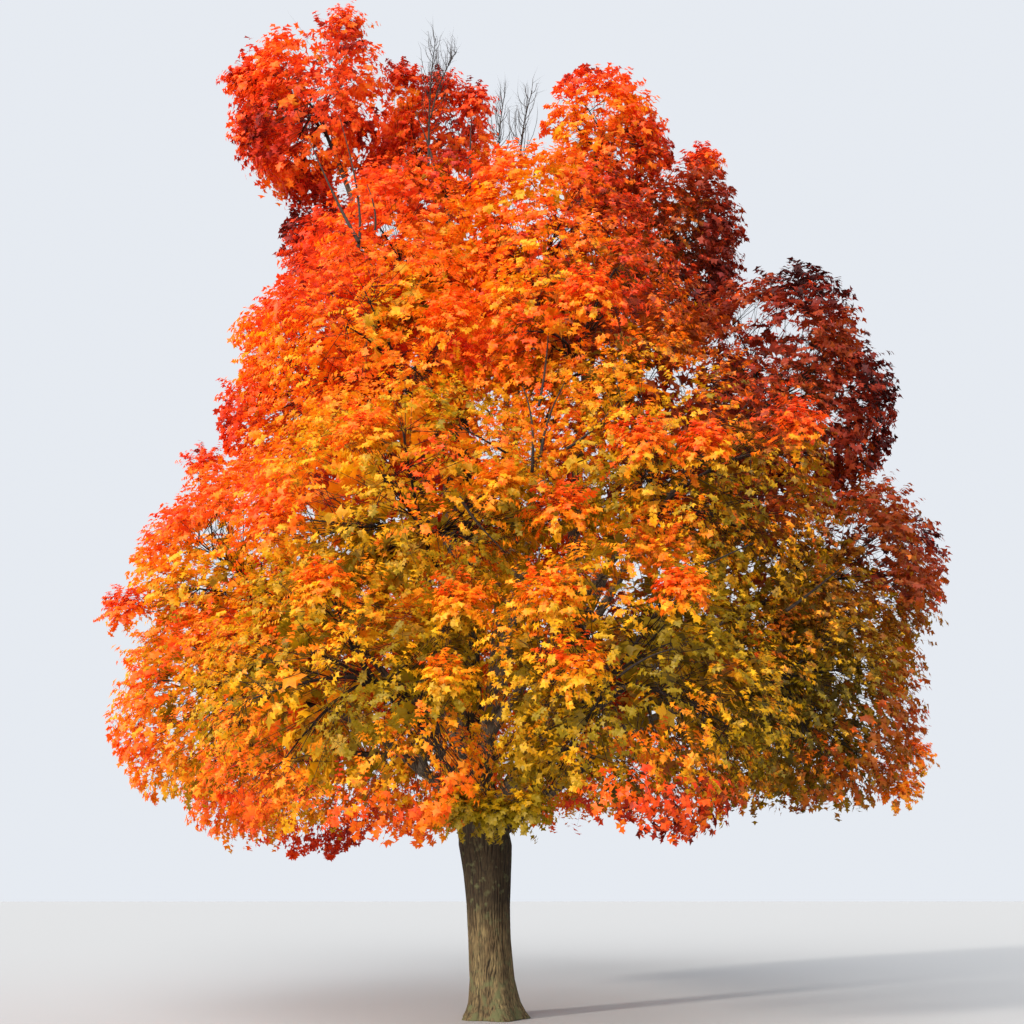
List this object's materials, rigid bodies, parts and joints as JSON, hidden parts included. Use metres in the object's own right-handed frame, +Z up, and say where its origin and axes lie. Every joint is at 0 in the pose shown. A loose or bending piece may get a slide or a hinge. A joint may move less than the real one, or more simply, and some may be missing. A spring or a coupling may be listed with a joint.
{
  "type": "maple tree",
  "caption": "Mature broad-crowned maple in autumn leaf: flared trunk that forks low into rising boughs, with leafy masses all round and open heads at the top.",
  "frame": {"origin": "middle of the flat cut under the trunk, at ground level", "axes": "+Z up the tree; +X to the right and +Y away, as seen from the side that the picture shows"},
  "size_m": [12.0202, 11.6142, 16.7455],
  "materials": {
    "bark": "rough, furrowed",
    "leaves_scarlet": "matte",
    "leaves_orange": "matte",
    "leaves_gold": "matte",
    "leaves_amber": "matte",
    "leaves_russet": "matte"
  },
  "bodies": {
    "root": {"trunk": "bark", "bough_high_1": "bark", "bough_high_2": "bark", "bough_high_3": "bark", "bough_high_4": "bark", "bough_high_5": "bark", "bough_middle_1": "bark", "bough_middle_2": "bark", "bough_middle_3": "bark", "bough_middle_4": "bark", "bough_middle_5": "bark", "bough_middle_6": "bark", "bough_middle_7": "bark", "bough_upper_1": "bark", "bough_upper_2": "bark", "bough_upper_3": "bark", "bough_upper_4": "bark", "bough_upper_5": "bark", "bough_upper_6": "bark", "bough_upper_7": "bark", "bough_top_left": "bark", "bough_top_right": "bark", "bough_low_1": "bark", "bough_low_2": "bark", "bough_low_3": "bark", "bough_low_4": "bark", "bough_low_5": "bark", "bough_low_6": "bark", "bough_low_7": "bark", "bough_low_8": "bark", "foliage_low_1": "leaves_amber", "foliage_low_2": "leaves_gold", "foliage_low_3": "leaves_gold", "foliage_low_4": "leaves_orange", "foliage_low_5": "leaves_orange", "foliage_low_6": "leaves_gold", "foliage_low_7": "leaves_gold", "foliage_low_8": "leaves_amber", "foliage_middle_1": "leaves_russet", "foliage_middle_2": "leaves_orange", "foliage_middle_3": "leaves_orange", "foliage_middle_4": "leaves_scarlet", "foliage_middle_5": "leaves_orange", "foliage_middle_6": "leaves_orange", "foliage_middle_7": "leaves_russet", "foliage_upper_1": "leaves_russet", "foliage_upper_2": "leaves_russet", "foliage_upper_3": "leaves_orange", "foliage_upper_4": "leaves_orange", "foliage_upper_5": "leaves_scarlet", "foliage_upper_6": "leaves_orange", "foliage_upper_7": "leaves_orange", "foliage_high_1": "leaves_scarlet", "foliage_high_2": "leaves_scarlet", "foliage_high_3": "leaves_scarlet", "foliage_high_4": "leaves_orange", "foliage_high_5": "leaves_scarlet", "foliage_top_left": "leaves_scarlet", "foliage_top_centre": "leaves_scarlet", "foliage_top_right": "leaves_scarlet"}
  },
  "joints": []
}
